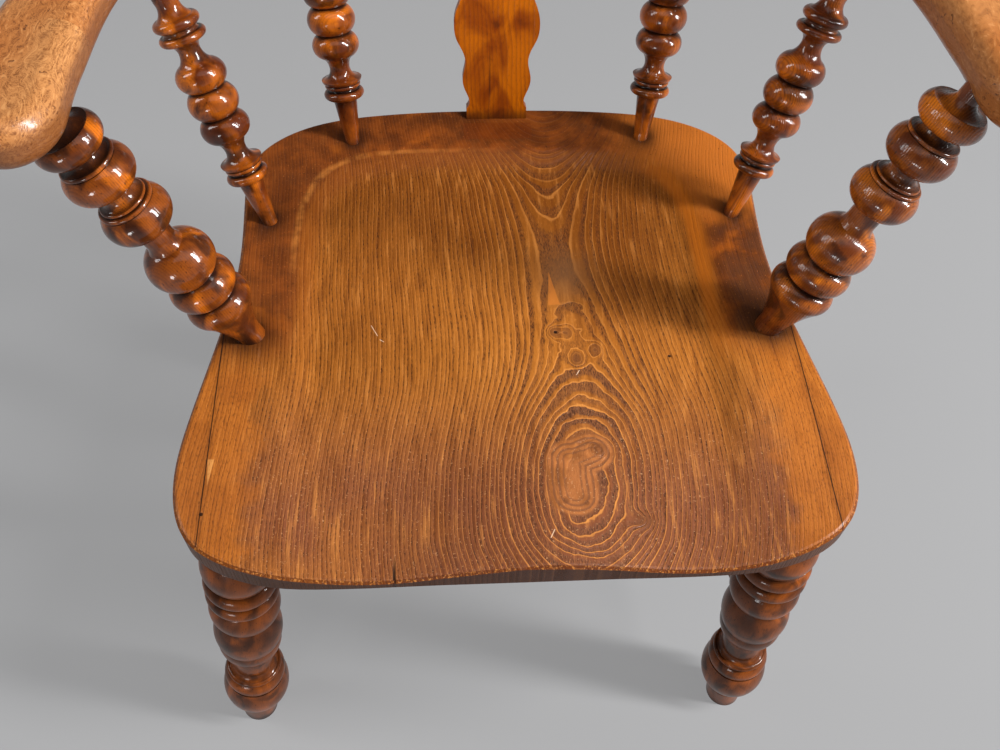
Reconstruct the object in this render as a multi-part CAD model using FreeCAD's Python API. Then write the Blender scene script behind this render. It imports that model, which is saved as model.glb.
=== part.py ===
import FreeCAD, Part
import math
import os

# A low-backed Windsor armchair with bobbin turnings, in millimetres, +Z up, front towards -Y.
# Left and right are as seen from the front, so the left side is at negative X.

Vector = FreeCAD.Vector

# Overall sizes
seat_height = 400.0            # floor to the flat rim that the spindles stand on
seat_width = 481.0             # across the widest place, near the front
seat_depth = 452.0             # front edge to back edge, in the middle
seat_thickness = 36.0
arm_rise = 212.0               # seat rim to the underside of the arms
arm_thickness = 32.0
bow_width = 656.0              # across the outsides of the hand rests
bow_depth = 380.0              # tips of the hand rests to the back of the bow
crest_rise = 62.0              # top of the arms to the top of the crest

# Seat outline
seat_back_y = 194.5            # the back edge, from the middle of the chair
waist_inset = 25.5             # the narrow place beside the mid spindles, in from the widest
waist_from_back = 180.0
shoulder_inset = 30.5          # the back corners
shoulder_from_back = 54.5
widest_from_front = 71.5
front_corner_inset = 15.5
front_corner_from_front = 27.0
front_flat_inset = 102.5       # the nearly straight stretch of the front edge
upright_edge = 25.0            # edge left upright above the undercut
undercut_reach = 12.0          # how far in the undercut meets the underside
arris_bevels = (2.6, 0.9)      # worn top edge, one bevel cut on the other
saddling_allowance = 3.0       # wood above the rim that the saddling takes off
strip_width = 21.5             # the two side strips, at the widest place

# Saddling of the seat
rim_width = 62.5               # flat rim beside the dish, at the widest place
dish_from_back = 45.5          # rim behind the dish
dish_depth = 9.0
dish_slope = 34.0              # how wide the slope from rim to dish is
scoop_depth = 17.0             # thigh hollows at the front edge
scoop_from_middle = 112.0
scoop_width = 70.0
scoop_shift = 12.0             # the hollows are cut this far to the right of the middle
pommel_drop = 0.5              # front edge between the hollows, below the rim

# Places of the turnings on the seat
post_inset = 22.8              # arm post, in from the seat side
post_foot_aside = 1.5          # both posts' feet stand this much further to the right
post_foot_lag = 3.0            # and the left one this much further back
post_y = -61.5
mid_spindle_inset = 21.5
mid_spindle_y = 60.0
rear_spindle_inset = 31.0      # in from the back edge
rear_spindle_from_side = 111.5 # in from the widest place
splat_inset = 13.5             # front face of the splat, in from the back edge

# Places of their tops under the arm bow
post_top_from_side = 50.5      # in from the outside of the bow
post_top_from_tip = 49.0
post_lead = 6.0                # the left post leans this much forward, and the right one back
mid_spindle_top_from_side = 73.0
mid_spindle_top_from_back = 154.0
rear_spindle_top_from_side = 179.0
rear_spindle_top_from_back = 48.0
bow_turn = 1.05                # degrees, the old bow sits a little askew on its uprights

# Turnings
post_radius = 25.0
post_foot_radius = 10.8
post_neck_radius = 7.7
spindle_radius = 19.6
spindle_foot_radius = 6.6
spindle_neck_radius = 8.6
spindle_top_radius = 7.0
leg_radius = 29.5
leg_foot_radius = 16.5
leg_neck_radius = 18.5
leg_top_radius = 16.0
stretcher_radius = 13.0
stretcher_end_radius = 7.5
cross_bead_radius = 15.0

# Legs
front_leg_top_from_side = 34.5 # in from the widest place of the seat
front_leg_top_from_front = 61.5
front_leg_splay_x = 27.0       # how far the foot stands outside its socket
front_leg_splay_y = 23.0
front_leg_lead = 2.5           # the right front foot stands this much further forward, the left one back
rear_leg_top_from_side = 88.5
rear_leg_top_from_back = 76.5
rear_leg_splay_x = 40.0
rear_leg_splay_y = 74.0
racking = 12.0                 # the old base leans: its feet stand this far to the left
side_stretcher_height = 168.0
cross_stretcher_share = (0.34, 0.62)   # where they meet the side stretchers, from the front

# Joints
clearance = 0.1                # round a tenon in its socket
socket_end_gap = 1.0           # past the end of a tenon
socket_mouth = 6.0             # a slanting hole is drawn this far out of its surface
surface_gap = 0.06             # the saddled top lies this far under what stands on it
seat_tenon_length = 24.0
arm_tenon_length = 17.0
leg_tenon_radius = 12.0
leg_tenon_length = 25.0
stretcher_tenon_length = 13.0
shoulder_bite = 2.0            # a stretcher's shoulder is let into the leg by this much
cross_shoulder_bite = 0.6      # and a cross stretcher's into the side stretcher

# Splat
splat_thickness = 11.0
splat_foot_half_width = 27.0
splat_tenon_half_width = 20.0
splat_seat_tenon = 16.0
splat_bow_tenon = 14.0
splat_shoulder = 1.5           # the tenons are thinner than the board by this on each face

# Arm bow
bow_back_y = 276.0             # back of the bow, from the middle of the chair
bow_back_width = 50.0
hand_rest_half_width = 30.5
hand_rest_point = 38.0         # length of its rounded tip
arm_rounding = min(13.0, 0.42 * arm_thickness)

# Crest
crest_half_length = 176.0
crest_thickness = 27.0
crest_end_rise = 9.0
crest_lean = 13.0              # how far its top lies behind its foot
crest_bend = 46.0              # how far its ends lie before its middle
crest_rounding = 5.0
crest_end_bevel = 8.0          # its front face is shorter than its back face at each end
screw_places = (-98.0, -34.0, 34.0, 98.0)
screw_head_radius = 4.6
screw_head_depth = 3.0
screw_shank_radius = 2.4
screw_length = 46.0
screw_point_length = 6.0
screw_point_radius = 0.6
screw_sink = 8.0               # the heads lie in the underside of the arms this deep

seat_bottom = seat_height - seat_thickness
arm_bottom = seat_height + arm_rise
arm_top = arm_bottom + arm_thickness
seat_front_y = seat_back_y - seat_depth
seat_half = seat_width / 2
strip_line = seat_half - strip_width
dish_half_width = seat_half - rim_width
bow_middle_y = bow_back_y - bow_back_width / 2
bow_tip_y = bow_back_y - bow_depth
bow_half = bow_width / 2
hand_rest_centre_y = bow_tip_y + hand_rest_point
post_top_x = bow_half - post_top_from_side
post_top_y = bow_tip_y + post_top_from_tip
mid_spindle_top_x = bow_half - mid_spindle_top_from_side
mid_spindle_top_y = bow_back_y - mid_spindle_top_from_back
rear_spindle_top_x = bow_half - rear_spindle_top_from_side
rear_spindle_top_y = bow_back_y - rear_spindle_top_from_back
bow_centre = Vector(0, bow_middle_y, 0)


def mirrored(point):
    return Vector(-point.x, point.y, point.z)


def turned_with_bow(point):
    """Where a point of the arm bow goes when the bow is turned about its back."""
    angle = math.radians(bow_turn)
    away = point - bow_centre
    return Vector(bow_centre.x + away.x * math.cos(angle) - away.y * math.sin(angle),
                  bow_centre.y + away.x * math.sin(angle) + away.y * math.cos(angle),
                  point.z)


def turn_bow_shape(shape):
    turned = shape.copy()
    turned.rotate(bow_centre, Vector(0, 0, 1), bow_turn)
    return turned


def spline(points, start=None, end=None):
    curve = Part.BSplineCurve()
    if start is None:
        curve.interpolate(points)
    else:
        curve.interpolate(Points=points, InitialTangent=start, FinalTangent=end)
    return curve


def smooth_step(value):
    bounded = min(1.0, max(0.0, value))
    return bounded ** 3 * (bounded * (6 * bounded - 15) + 10)


class Turning:
    """Half profile of a turned piece, drawn stretch by stretch from its lower end."""

    def __init__(self, radius):
        self.place = 0.0
        self.radius = radius
        self.stretches = []

    def line(self, length, radius):
        """A straight or tapering stretch."""
        self.add(length, radius, None)
        return self

    def curve(self, length, radius, bulge):
        """An arc that stands bulge proud of its chord, or hollow where bulge is negative."""
        run = math.hypot(length, radius - self.radius)
        middle = (self.place + length / 2 - bulge * (radius - self.radius) / run,
                  (self.radius + radius) / 2 + bulge * length / run)
        self.add(length, radius, middle)
        return self

    def step(self, radius):
        """A square shoulder."""
        self.add(0.0, radius, None)
        return self

    def bead(self, length, radius):
        """A half-round ring that springs from the present radius and returns to it."""
        return self.curve(length, self.radius, radius - self.radius)

    def add(self, length, radius, middle):
        start = (self.place, self.radius)
        end = (self.place + length, radius)
        self.stretches.append((start, middle, end))
        self.place, self.radius = end

    def solid(self, length, lower_tenon=None, upper_tenon=None):
        """The piece along +Z, its pattern stretched to the length, with its tenons."""
        share = length / self.place

        def at(place_and_radius):
            return Vector(place_and_radius[1], 0, place_and_radius[0] * share)

        first_radius = self.stretches[0][0][1]
        bottom = Vector(first_radius, 0, 0)
        top = Vector(self.radius, 0, length)
        edges = []
        axis_bottom = Vector(0, 0, 0)
        axis_top = Vector(0, 0, length)
        if lower_tenon:
            radius, reach = lower_tenon
            axis_bottom = Vector(0, 0, -reach)
            path = [axis_bottom, Vector(radius, 0, -reach), Vector(radius, 0, 0), bottom]
        else:
            path = [axis_bottom, bottom]
        edges += straight_edges(path)
        for start, middle, end in self.stretches:
            if middle is None:
                edges += straight_edges([at(start), at(end)])
            else:
                edges.append(Part.Arc(at(start), at(middle), at(end)).toShape())
        if upper_tenon:
            radius, reach = upper_tenon
            axis_top = Vector(0, 0, length + reach)
            path = [top, Vector(radius, 0, length), Vector(radius, 0, length + reach), axis_top]
        else:
            path = [top, axis_top]
        edges += straight_edges(path)
        edges += straight_edges([axis_top, axis_bottom])
        face = Part.Face(Part.Wire(edges))
        return face.revolve(Vector(0, 0, 0), Vector(0, 0, 1), 360)


def straight_edges(path):
    """Line edges along a path, leaving out stretches of no length."""
    shortest = 1e-6
    return [Part.makeLine(start, end) for start, end in zip(path, path[1:])
            if start.distanceToPoint(end) > shortest]


def stood_along(shape, start, end):
    """A shape drawn along +Z from the origin, placed from start towards end."""
    placed = shape.copy()
    turn = FreeCAD.Rotation(Vector(0, 0, 1), end - start)
    placed.Placement = FreeCAD.Placement(start, turn)
    return placed


def socket(start, end, radius, reach):
    """The hole that takes a tenon running from start away from end."""
    axis = (start - end).normalize()
    depth = reach + socket_end_gap + socket_mouth
    return Part.makeCylinder(radius + clearance, depth, start - axis * socket_mouth, axis)


# Seat

def seat_half_curve():
    """The right half of the seat outline, from the middle of the back to the middle of the front."""
    corner_y = seat_front_y + front_corner_from_front
    shoulder_y = seat_back_y - shoulder_from_back
    waist_y = seat_back_y - waist_from_back
    widest_y = seat_front_y + widest_from_front
    shoulder_x = seat_half - shoulder_inset
    flat_x = seat_half - front_flat_inset
    back_bow = 4.5
    points = [
        Vector(0, seat_back_y, 0),
        Vector(shoulder_x / 2, seat_back_y - back_bow, 0),
        Vector(shoulder_x - 27, (seat_back_y + shoulder_y) / 2, 0),
        Vector(shoulder_x, shoulder_y, 0),
        Vector(seat_half - waist_inset + 2, (shoulder_y + waist_y) / 2, 0),
        Vector(seat_half - waist_inset, waist_y, 0),
        Vector(seat_half - waist_inset * 0.65, (waist_y + widest_y) / 2 + 22, 0),
        Vector(seat_half - 3.8, widest_y + 50, 0),
        Vector(seat_half, widest_y, 0),
        Vector(seat_half - front_corner_inset, corner_y, 0),
        Vector(flat_x + 65, seat_front_y + 12, 0),
        Vector(flat_x + 34, seat_front_y + 2.8, 0),
        Vector(flat_x, seat_front_y, 0),
        Vector(flat_x / 2, seat_front_y, 0),
        Vector(0, seat_front_y, 0),
    ]
    return spline(points, Vector(1, 0, 0), Vector(-1, 0, 0))


def seat_half_width(y):
    """Half the width of the seat at a place from front to back."""
    curve = seat_half_curve()
    low, high = curve.FirstParameter, curve.LastParameter
    for _ in range(40):
        middle = (low + high) / 2
        if curve.value(middle).y > y:
            low = middle
        else:
            high = middle
    return curve.value(low).x


def seat_back_edge(x):
    """How far back the seat reaches at a place beside its middle."""
    curve = seat_half_curve()
    low = curve.FirstParameter
    high = curve.parameter(Vector(seat_half - shoulder_inset, seat_back_y - shoulder_from_back, 0))
    for _ in range(40):
        middle = (low + high) / 2
        if curve.value(middle).x < x:
            low = middle
        else:
            high = middle
    return curve.value(low).y


def seat_surface_height(x, y):
    """How far the saddled top lies below the rim."""
    across = abs(x) / dish_half_width
    middle_y = seat_back_y - seat_depth / 2
    reach = seat_back_y - dish_from_back - middle_y
    along = max(0.0, y - middle_y) / reach
    roundness = 5.0
    inside = 1 - (across ** roundness + along ** roundness) ** (1 / roundness)
    bowl = dish_depth * smooth_step(inside * dish_half_width / dish_slope)
    from_hollow = abs(x - scoop_shift) - scoop_from_middle
    hollow = math.exp(-(from_hollow / scoop_width) ** 2)
    front = pommel_drop + (scoop_depth - pommel_drop) * hollow
    from_front = smooth_step((y - seat_front_y) / (seat_depth * 0.36))
    return front + (bowl - front) * from_front


def saddle_cutter():
    """Everything above the saddled top, as one solid."""
    spacing = 13.0
    margin = 12.0
    half = seat_half + margin
    first_y = seat_front_y - margin
    last_y = seat_back_y + margin
    columns = 2 * math.ceil(half / spacing) + 1
    rows = math.ceil((last_y - first_y) / spacing) + 1
    grid = []
    for column in range(columns):
        x = -half + 2 * half * column / (columns - 1)
        line = []
        for row in range(rows):
            y = first_y + (last_y - first_y) * row / (rows - 1)
            line.append(Vector(x, y, seat_height - surface_gap - seat_surface_height(x, y)))
        grid.append(line)
    surface = Part.BSplineSurface()
    surface.interpolate(grid)
    return surface.toShape().extrude(Vector(0, 0, seat_thickness))


def seat_blank():
    half = seat_half_curve()
    right = half.toShape()
    left = right.mirror(Vector(0, 0, 0), Vector(1, 0, 0))
    outline = Part.Wire(Part.sortEdges([right, left])[0])
    blank = Part.Face(outline)
    blank.translate(Vector(0, 0, seat_bottom))
    block = blank.extrude(Vector(0, 0, seat_thickness + saddling_allowance))
    lower_edges = [edge for edge in block.Edges
                   if abs(edge.BoundBox.ZMax - seat_bottom) < 0.01]
    return block.makeChamfer(seat_thickness - upright_edge, undercut_reach, lower_edges)


def worn_arris(block):
    """The seat with its saddled top's edge worn round, as two bevels."""
    for bevel in arris_bevels:
        upper_faces = [face for face in block.Faces
                       if face.CenterOfMass.z > seat_bottom + upright_edge / 2]
        top = max(upper_faces, key=lambda face: face.Area)
        block = block.makeChamfer(bevel, top.Edges)
    return block


def seat_boards(holes):
    """The wide elm board and the two strips glued to its sides."""
    block = worn_arris(seat_blank().cut(saddle_cutter()))
    for hole in holes:
        block = block.cut(hole)
    wide = seat_width * 2
    slab = Part.makeBox(2 * strip_line, wide, wide, Vector(-strip_line, -wide / 2, 0))
    beside = Part.makeBox(wide, wide, wide, Vector(strip_line, -wide / 2, 0))
    board = largest(block.common(slab))
    right = largest(block.common(beside))
    left = largest(block.common(beside.mirror(Vector(0, 0, 0), Vector(1, 0, 0))))
    return board, left, right


def largest(shape):
    return max(shape.Solids, key=lambda solid: solid.Volume)


# Turned patterns, each drawn from its lower end

def post_pattern():
    big = post_radius
    neck = post_neck_radius + 3.4
    pattern = Turning(post_foot_radius).line(5, post_foot_radius)
    pattern.curve(33, big - 2.2, -1.4).curve(16.5, big - 7.5, 4.6)
    pattern.curve(23, big - 7.5, 7.6).line(2, big - 5.5)
    pattern.curve(31, neck + 2.0, 8.6).curve(9, neck, -0.8).line(9, neck)
    pattern.curve(24.5, big - 6.0, 9.0)
    pattern.step(big - 6.8).bead(3.0, big - 5.4).step(big - 9.6).bead(2.6, big - 8.2)
    pattern.curve(6.4, neck, -1.8).line(3, neck)
    pattern.curve(23.5, big - 6.4, 9.2)
    pattern.step(big - 7.4).bead(3.2, big - 5.8).curve(5.5, neck, -1.8).line(1, neck)
    pattern.curve(17, big - 5.8, 7.8).curve(6, post_neck_radius, -2.2)
    pattern.line(2.3, post_neck_radius)
    return pattern


def spindle_pattern():
    ball = spindle_radius
    neck = spindle_neck_radius
    groove = ball - 6.5
    pattern = Turning(spindle_foot_radius).line(4, spindle_foot_radius)
    pattern.line(32, spindle_foot_radius + 3.4).curve(3, groove - 1, -0.6)
    pattern.bead(6.6, ball - 2.4)
    pattern.curve(2.8, groove - 1, -0.8)
    pattern.bead(2.8, ball - 4.4)
    pattern.curve(3.8, ball - 2.6, 1.4).curve(10.6, neck, -3.0)
    pattern.curve(8, groove, -1.0).bead(19, ball)
    pattern.bead(22, ball + 0.3)
    pattern.bead(19, ball).curve(8, neck, -1.0)
    pattern.curve(9, groove + 1, -2.0).bead(6.0, ball - 1.6)
    pattern.curve(3.6, groove + 0.5, -0.8)
    pattern.bead(7.4, ball - 1.8)
    pattern.curve(12, neck + 0.6, -2.2)
    pattern.curve(24, neck + 1, 0.8).line(12, spindle_top_radius)
    pattern.line(4, spindle_top_radius)
    return pattern


def leg_pattern():
    """Foot, ball, neck, egg, flat torus and two rings, with a bulb under the seat."""
    big = leg_radius
    foot = leg_foot_radius
    neck = leg_neck_radius
    pattern = Turning(foot).line(24, foot + 1.5).curve(8, foot + 2.5, -1.0)
    pattern.curve(47, big - 3.5, 7.0).step(big - 4.1).line(1.6, big - 4.1)
    pattern.curve(16, big - 8.0, 3.4).bead(5, big - 5.0)
    pattern.curve(9, neck, -2.0).line(22, neck)
    pattern.curve(26, big - 3.0, 3.4).curve(39.4, big - 8.0, 4.6)
    pattern.curve(33, big - 6.5, 6.8)
    for ring in range(2):
        pattern.line(1.2, big - 5.5)
        pattern.bead(16, big - 0.2)
    pattern.line(1.2, big - 4.5)
    pattern.curve(36, big - 7.5, 5.4).curve(18, leg_top_radius + 1.0, -1.5)
    pattern.line(21, leg_top_radius)
    return pattern


def side_stretcher_pattern():
    end = stretcher_end_radius
    pattern = Turning(end).line(6, end)
    pattern.curve(84, stretcher_radius - 1.5, 1.0)
    pattern.bead(7, stretcher_radius)
    pattern.curve(96, stretcher_radius - 1.5, 1.5)
    pattern.bead(7, stretcher_radius)
    pattern.curve(84, end, 1.0).line(6, end)
    return pattern


def cross_stretcher_pattern():
    narrow = stretcher_end_radius + 1.5
    pattern = Turning(stretcher_end_radius).line(4, stretcher_end_radius)
    pattern.curve(88, narrow + 1.5, 1.0)
    pattern.bead(6, narrow + 4.0)
    pattern.curve(10, narrow, -1.0)
    pattern.curve(34, narrow, cross_bead_radius - narrow)
    pattern.curve(10, narrow + 1.5, -1.0)
    pattern.bead(6, narrow + 4.0)
    pattern.curve(88, stretcher_end_radius, 1.0).line(4, stretcher_end_radius)
    return pattern


# Turned pieces between two joints

def seat_to_bow(pattern, base, top, foot_radius, top_radius):
    """A turning between the seat and the bow, with the sockets that it needs in each."""
    length = base.distanceToPoint(top)
    piece = pattern.solid(length, (foot_radius, seat_tenon_length), (top_radius, arm_tenon_length))
    placed = stood_along(piece, base, top)
    seat_hole = socket(base, top, foot_radius, seat_tenon_length)
    bow_hole = socket(top, base, top_radius, arm_tenon_length)
    return placed, seat_hole, bow_hole


def leg_ends(name):
    """Socket centre under the seat and foot centre on the floor."""
    side = -1.0 if name.endswith("left") else 1.0
    if name.startswith("front"):
        top_x = seat_half - front_leg_top_from_side
        top = Vector(side * top_x, seat_front_y + front_leg_top_from_front, seat_bottom)
        splay = Vector(side * front_leg_splay_x, -front_leg_splay_y - side * front_leg_lead, 0)
        foot = Vector(top.x + splay.x - racking, top.y + splay.y, 0)
    else:
        top_x = seat_half - rear_leg_top_from_side
        top = Vector(side * top_x, seat_back_y - rear_leg_top_from_back, seat_bottom)
        foot = Vector(top.x + side * rear_leg_splay_x - racking, top.y + rear_leg_splay_y, 0)
    return foot, top


def along(start, end, height):
    """The point of a line at a height."""
    share = (height - start.z) / (end.z - start.z)
    return start + (end - start) * share


def make_leg(name):
    """A leg cut level at the floor and under the seat, and its socket in the seat."""
    foot, top = leg_ends(name)
    length = foot.distanceToPoint(top)
    overrun = 12.0
    pattern = leg_pattern()
    turned = pattern.solid(length)
    below = Part.makeCylinder(leg_foot_radius, overrun, Vector(0, 0, -overrun))
    above = Part.makeCylinder(leg_top_radius, overrun, Vector(0, 0, length))
    tenon = Part.makeCylinder(leg_tenon_radius, leg_tenon_length, Vector(0, 0, length))
    placed = stood_along(turned.fuse([below, above]), foot, top)
    room = 2 * leg_radius
    floor = Part.makeBox(2 * room, 2 * room, room, Vector(foot.x - room, foot.y - room, -room))
    seat = Part.makeBox(2 * room, 2 * room, room, Vector(top.x - room, top.y - room, seat_bottom))
    placed = placed.cut(floor).cut(seat).fuse(stood_along(tenon, foot, top)).removeSplitter()
    return largest(placed), socket(top, foot, leg_tenon_radius, leg_tenon_length)


def make_stretcher(pattern, start, end, start_radius, end_radius):
    """A stretcher whose shoulders stop at the surfaces that it runs between, with its sockets."""
    axis = (end - start).normalize()
    first = start + axis * start_radius
    last = end - axis * end_radius
    length = first.distanceToPoint(last)
    tenon = (stretcher_end_radius, stretcher_tenon_length)
    piece = stood_along(pattern.solid(length, tenon, tenon), first, last)
    reach = stretcher_tenon_length + socket_end_gap
    radius = stretcher_end_radius + clearance
    holes = [Part.makeCylinder(radius, reach + start_radius, first - axis * reach, axis),
             Part.makeCylinder(radius, reach + end_radius, last + axis * reach, axis * -1)]
    return piece, holes


# Splat

def splat_half_outline(length):
    """Places up the board and half widths: two small lobes and two large ones about its middle."""
    foot = splat_foot_half_width
    lower = [(10.0, foot), (17.0, foot - 2.6), (27.0, foot + 1.0), (37.0, foot + 3.2),
             (53.0, foot + 0.6), (63.0, foot + 3.2), (73.0, foot + 8.2), (84.0, foot + 10.0),
             (97.0, foot + 8.0)]
    drawn_half = 111.0
    share = length / 2 / drawn_half
    half = [(place * share, width) for place, width in lower]
    middle = [(length / 2, foot + 3.6)]
    return half + middle + [(length - place, width) for place, width in reversed(half)]


def make_splat():
    base = Vector(0, seat_back_y - splat_inset, seat_height)
    depth_at_bow = bow_middle_y - splat_thickness / 2
    top = Vector(0, depth_at_bow, arm_bottom)
    length = base.distanceToPoint(top)
    foot = splat_foot_half_width
    rows = splat_half_outline(length)
    right = [Vector(width, 0, place) for place, width in rows]
    left = [mirrored(point) for point in reversed(right)]
    right_curve = spline(right).toShape()
    left_curve = spline(left).toShape()
    foot_path = [left[-1], Vector(-foot, 0, 0), Vector(foot, 0, 0), right[0]]
    head_path = [right[-1], Vector(foot, 0, length), Vector(-foot, 0, length), left[0]]
    edges = straight_edges(foot_path) + [right_curve] + straight_edges(head_path) + [left_curve]
    board = Part.Face(Part.Wire(edges)).extrude(Vector(0, splat_thickness, 0))
    longer = 8.0
    tail = Part.makeBox(2 * foot, splat_thickness, longer, Vector(-foot, 0, -longer))
    head = Part.makeBox(2 * foot, splat_thickness, longer, Vector(-foot, 0, length))
    turn = FreeCAD.Placement(base, FreeCAD.Rotation(Vector(0, 0, 1), top - base))
    whole = board.fuse([tail, head])
    whole.Placement = turn
    wide = 4 * foot
    under = Part.makeBox(wide, wide, wide, Vector(-wide / 2, base.y - wide / 2, seat_height - wide))
    over = Part.makeBox(wide, wide, wide, Vector(-wide / 2, top.y - wide / 2, arm_bottom))
    whole = whole.cut(under).cut(over)
    mortises = []
    overlap = 6.0
    for low, high in ((-splat_seat_tenon, overlap), (length - overlap, length + splat_bow_tenon)):
        tenon = splat_stub(low, high, 0.0, 0.0)
        mortise = splat_stub(low, high, clearance, socket_end_gap)
        for shape in (tenon, mortise):
            shape.Placement = turn
        whole = whole.fuse(tenon)
        mortises.append(mortise)
    splat = largest(whole.removeSplitter())
    return splat, mortises[0], mortises[1]


def splat_stub(low, high, side_gap, end_gap):
    """A tenon of the splat, or the mortise for it where there are gaps."""
    half = splat_tenon_half_width + side_gap
    corner = Vector(-half, splat_shoulder - side_gap, low - end_gap)
    thickness = splat_thickness - 2 * splat_shoulder + 2 * side_gap
    return Part.makeBox(2 * half, thickness, high - low + 2 * end_gap, corner)


# Arm bow

def arm_outline():
    """The right arm from above: hand rest at the front, joint with the left arm at the back."""
    outer_x = bow_half
    inner_x = outer_x - 2 * hand_rest_half_width
    half_back = bow_back_width / 2
    forward = Vector(0, -1, 0)
    inner = [
        Vector(0, bow_middle_y - half_back, 0),
        Vector(rear_spindle_top_x - 13, rear_spindle_top_y - 20, 0),
        Vector(mid_spindle_top_x - 27, mid_spindle_top_y - 9, 0),
        Vector(inner_x - 9, 40, 0),
        Vector(inner_x - 2, -20, 0),
        Vector(inner_x, hand_rest_centre_y, 0),
    ]
    outer = [
        Vector(outer_x, hand_rest_centre_y, 0),
        Vector(outer_x - 4.5, -12, 0),
        Vector(outer_x - 15, 37, 0),
        Vector(mid_spindle_top_x + 27, mid_spindle_top_y + 12, 0),
        Vector(rear_spindle_top_x + 18, rear_spindle_top_y + 24, 0),
        Vector(0, bow_middle_y + half_back, 0),
    ]
    middle = Vector((inner_x + outer_x) / 2, hand_rest_centre_y, 0)
    tip = Vector(middle.x, bow_tip_y, 0)
    oval = Part.Ellipse(tip, outer[0], middle)
    return [
        spline(inner, Vector(1, 0, 0), forward).toShape(),
        Part.ArcOfEllipse(oval, -math.pi / 2, math.pi / 2).toShape(),
        spline(outer, forward * -1, Vector(-1, 0, 0)).toShape(),
        Part.makeLine(outer[-1], inner[0]),
    ]


def make_arm(side, holes):
    face = Part.Face(Part.Wire(arm_outline()))
    face.translate(Vector(0, 0, arm_bottom))
    block = face.extrude(Vector(0, 0, arm_thickness))
    rounded = [edge for edge in block.Edges
               if edge.BoundBox.ZLength < 0.01 and edge.BoundBox.XLength > 1.0]
    arm = block.makeFillet(arm_rounding, rounded)
    if side < 0:
        arm = arm.mirror(Vector(0, 0, 0), Vector(1, 0, 0))
    arm = turn_bow_shape(arm)
    for hole in holes:
        arm = arm.cut(hole)
    return largest(arm)


def make_crest():
    """A sawn block that leans back, bent in plan, with a humped top."""
    half = crest_half_length
    short = half - crest_end_bevel
    back_y = bow_middle_y + crest_thickness / 2
    front_y = bow_middle_y - crest_thickness / 2
    end_back_y = back_y - crest_bend
    end_front_y = front_y - crest_bend * (short / half) ** 2
    back_right, back_left = Vector(half, end_back_y, arm_top), Vector(-half, end_back_y, arm_top)
    front_right, front_left = Vector(short, end_front_y, arm_top), Vector(-short, end_front_y, arm_top)
    plan = Part.Face(Part.Wire([
        Part.Arc(back_left, Vector(0, back_y, arm_top), back_right).toShape(),
        Part.makeLine(back_right, front_right),
        Part.Arc(front_right, Vector(0, front_y, arm_top), front_left).toShape(),
        Part.makeLine(front_left, back_left),
    ]))
    allowance = 5.0
    block = plan.extrude(Vector(0, crest_lean, crest_rise + allowance))
    crest = largest(block.common(crest_silhouette()))
    upper = [edge for edge in crest.Edges
             if edge.BoundBox.ZMin > arm_top + 1 and edge.BoundBox.XLength > half]
    return turn_bow_shape(crest.makeFillet(crest_rounding, upper))


def crest_silhouette():
    """The humped front view of the crest, carried straight back through the whole bow."""
    beyond = crest_half_length + 6.0
    right = [(beyond, crest_end_rise), (crest_half_length * 0.86, crest_end_rise + 3),
             (crest_half_length * 0.62, crest_rise * 0.62), (crest_half_length * 0.3, crest_rise - 4)]
    left = [(-x, height) for x, height in reversed(right)]
    top = [Vector(x, 0, arm_top + height) for x, height in right + [(0, crest_rise)] + left]
    feet = [Vector(-beyond, 0, arm_top), Vector(beyond, 0, arm_top)]
    wire = Part.Wire([spline(top).toShape()] + straight_edges([top[-1]] + feet + [top[0]]))
    return Part.Face(wire).extrude(Vector(0, 2 * bow_middle_y, 0))


def crest_screw_axis(x):
    """Foot of a screw under the arm, where the crest stands over the bow."""
    bend_radius = (crest_half_length ** 2 + crest_bend ** 2) / (2 * crest_bend)
    back = bend_radius - math.sqrt(bend_radius ** 2 - x ** 2)
    return turned_with_bow(Vector(x, bow_middle_y - back, arm_bottom))


def make_screws():
    """The screws that hold the crest, and the holes for them in the arms and the crest."""
    up = Vector(0, 0, 1)
    shank_length = screw_length - screw_point_length
    wide = screw_head_radius + clearance
    narrow = screw_shank_radius + clearance
    screws, arm_holes, crest_holes = [], [], []
    for x in screw_places:
        start = crest_screw_axis(x) + up * screw_sink
        head = Part.makeCone(screw_head_radius, screw_shank_radius, screw_head_depth, start, up)
        shank = Part.makeCylinder(screw_shank_radius, shank_length, start, up)
        point = Part.makeCone(screw_shank_radius, screw_point_radius, screw_point_length,
                              start + up * shank_length, up)
        screws.append(largest(head.fuse([shank, point]).removeSplitter()))
        mouth = screw_sink + socket_mouth
        sink = Part.makeCylinder(wide, mouth, start - up * mouth, up)
        seat = Part.makeCone(wide, narrow, screw_head_depth, start, up)
        bore = Part.makeCylinder(narrow, screw_length + socket_end_gap, start, up)
        arm_holes += [sink, seat, bore]
        crest_holes.append(bore)
    return Part.makeCompound(screws), arm_holes, crest_holes


# The whole chair

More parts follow.
